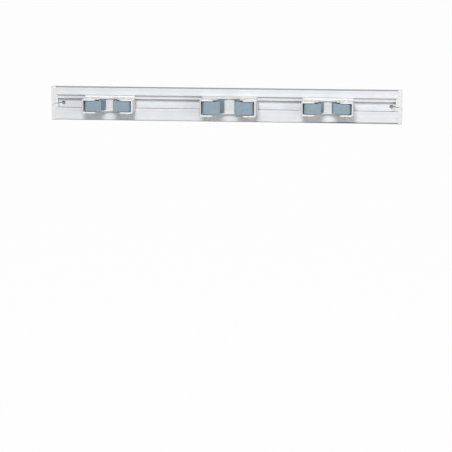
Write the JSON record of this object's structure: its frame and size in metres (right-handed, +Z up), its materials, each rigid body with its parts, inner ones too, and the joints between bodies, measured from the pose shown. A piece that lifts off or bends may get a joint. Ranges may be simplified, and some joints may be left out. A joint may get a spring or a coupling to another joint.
{
  "type": "wall mop holder rack",
  "caption": "Extruded aluminium wall rail with light end caps and sliding white holders, whose pivoting grey rubber jaws grip mop, broom and shovel handles.",
  "frame": {"origin": "centre of the rail's back face, on the wall plane", "axes": "+X along the rail to the right as seen from the front, +Y into the wall, +Z up"},
  "size_m": [0.54, 0.0498, 0.0518],
  "materials": {
    "anodised_aluminium": "satin, fine lines along the extrusion",
    "cap_plastic": "satin moulded",
    "white_plastic": "satin moulded",
    "grey_rubber": "matt moulded rubber",
    "bush_plastic": "smooth nylon",
    "pin_plastic": "smooth nylon"
  },
  "bodies": {
    "wall_rail": {"rail": "anodised_aluminium", "cap_left": "cap_plastic", "cap_right": "cap_plastic"},
    "holder_1": {"carriage_1": "white_plastic", "pin_1_left": "pin_plastic", "pin_1_right": "pin_plastic"},
    "grip_1_left": {"jaw_1_left": "grey_rubber", "bush_1_left": "bush_plastic"},
    "grip_1_right": {"jaw_1_right": "grey_rubber", "bush_1_right": "bush_plastic"},
    "holder_2": {"carriage_2": "white_plastic", "pin_2_left": "pin_plastic", "pin_2_right": "pin_plastic"},
    "grip_2_left": {"jaw_2_left": "grey_rubber", "bush_2_left": "bush_plastic"},
    "grip_2_right": {"jaw_2_right": "grey_rubber", "bush_2_right": "bush_plastic"},
    "holder_3": {"carriage_3": "white_plastic", "pin_3_left": "pin_plastic", "pin_3_right": "pin_plastic"},
    "grip_3_left": {"jaw_3_left": "grey_rubber", "bush_3_left": "bush_plastic"},
    "grip_3_right": {"jaw_3_right": "grey_rubber", "bush_3_right": "bush_plastic"}
  },
  "joints": [
    {"name": "slide_1", "type": "slide", "parent": "wall_rail", "child": "holder_1", "axis": [1, 0, 0], "range_m": [-0.042, 0.05]},
    {"name": "jaw_1_left_turn", "type": "hinge", "parent": "holder_1", "child": "grip_1_left", "pos_m": [-0.2063, -0.033, 0], "axis": [0, 0, -1], "range_deg": [-4, 24]},
    {"name": "jaw_1_right_turn", "type": "hinge", "parent": "holder_1", "child": "grip_1_right", "pos_m": [-0.1497, -0.033, 0], "axis": [0, 0, 1], "range_deg": [-4, 24]},
    {"name": "slide_2", "type": "slide", "parent": "wall_rail", "child": "holder_2", "axis": [1, 0, 0], "range_m": [-0.05, 0.032]},
    {"name": "jaw_2_left_turn", "type": "hinge", "parent": "holder_2", "child": "grip_2_left", "pos_m": [-0.0248, -0.03897, 0], "axis": [0, 0, -1], "range_deg": [-4, 24]},
    {"name": "jaw_2_right_turn", "type": "hinge", "parent": "holder_2", "child": "grip_2_right", "pos_m": [0.0388, -0.03897, 0], "axis": [0, 0, 1], "range_deg": [-4, 24]},
    {"name": "slide_3", "type": "slide", "parent": "wall_rail", "child": "holder_3", "axis": [1, 0, 0], "range_m": [-0.032, 0.062]},
    {"name": "jaw_3_left_turn", "type": "hinge", "parent": "holder_3", "child": "grip_3_left", "pos_m": [0.1287, -0.033, 0], "axis": [0, 0, -1], "range_deg": [-4, 24]},
    {"name": "jaw_3_right_turn", "type": "hinge", "parent": "holder_3", "child": "grip_3_right", "pos_m": [0.1853, -0.033, 0], "axis": [0, 0, 1], "range_deg": [-4, 24]}
  ]
}
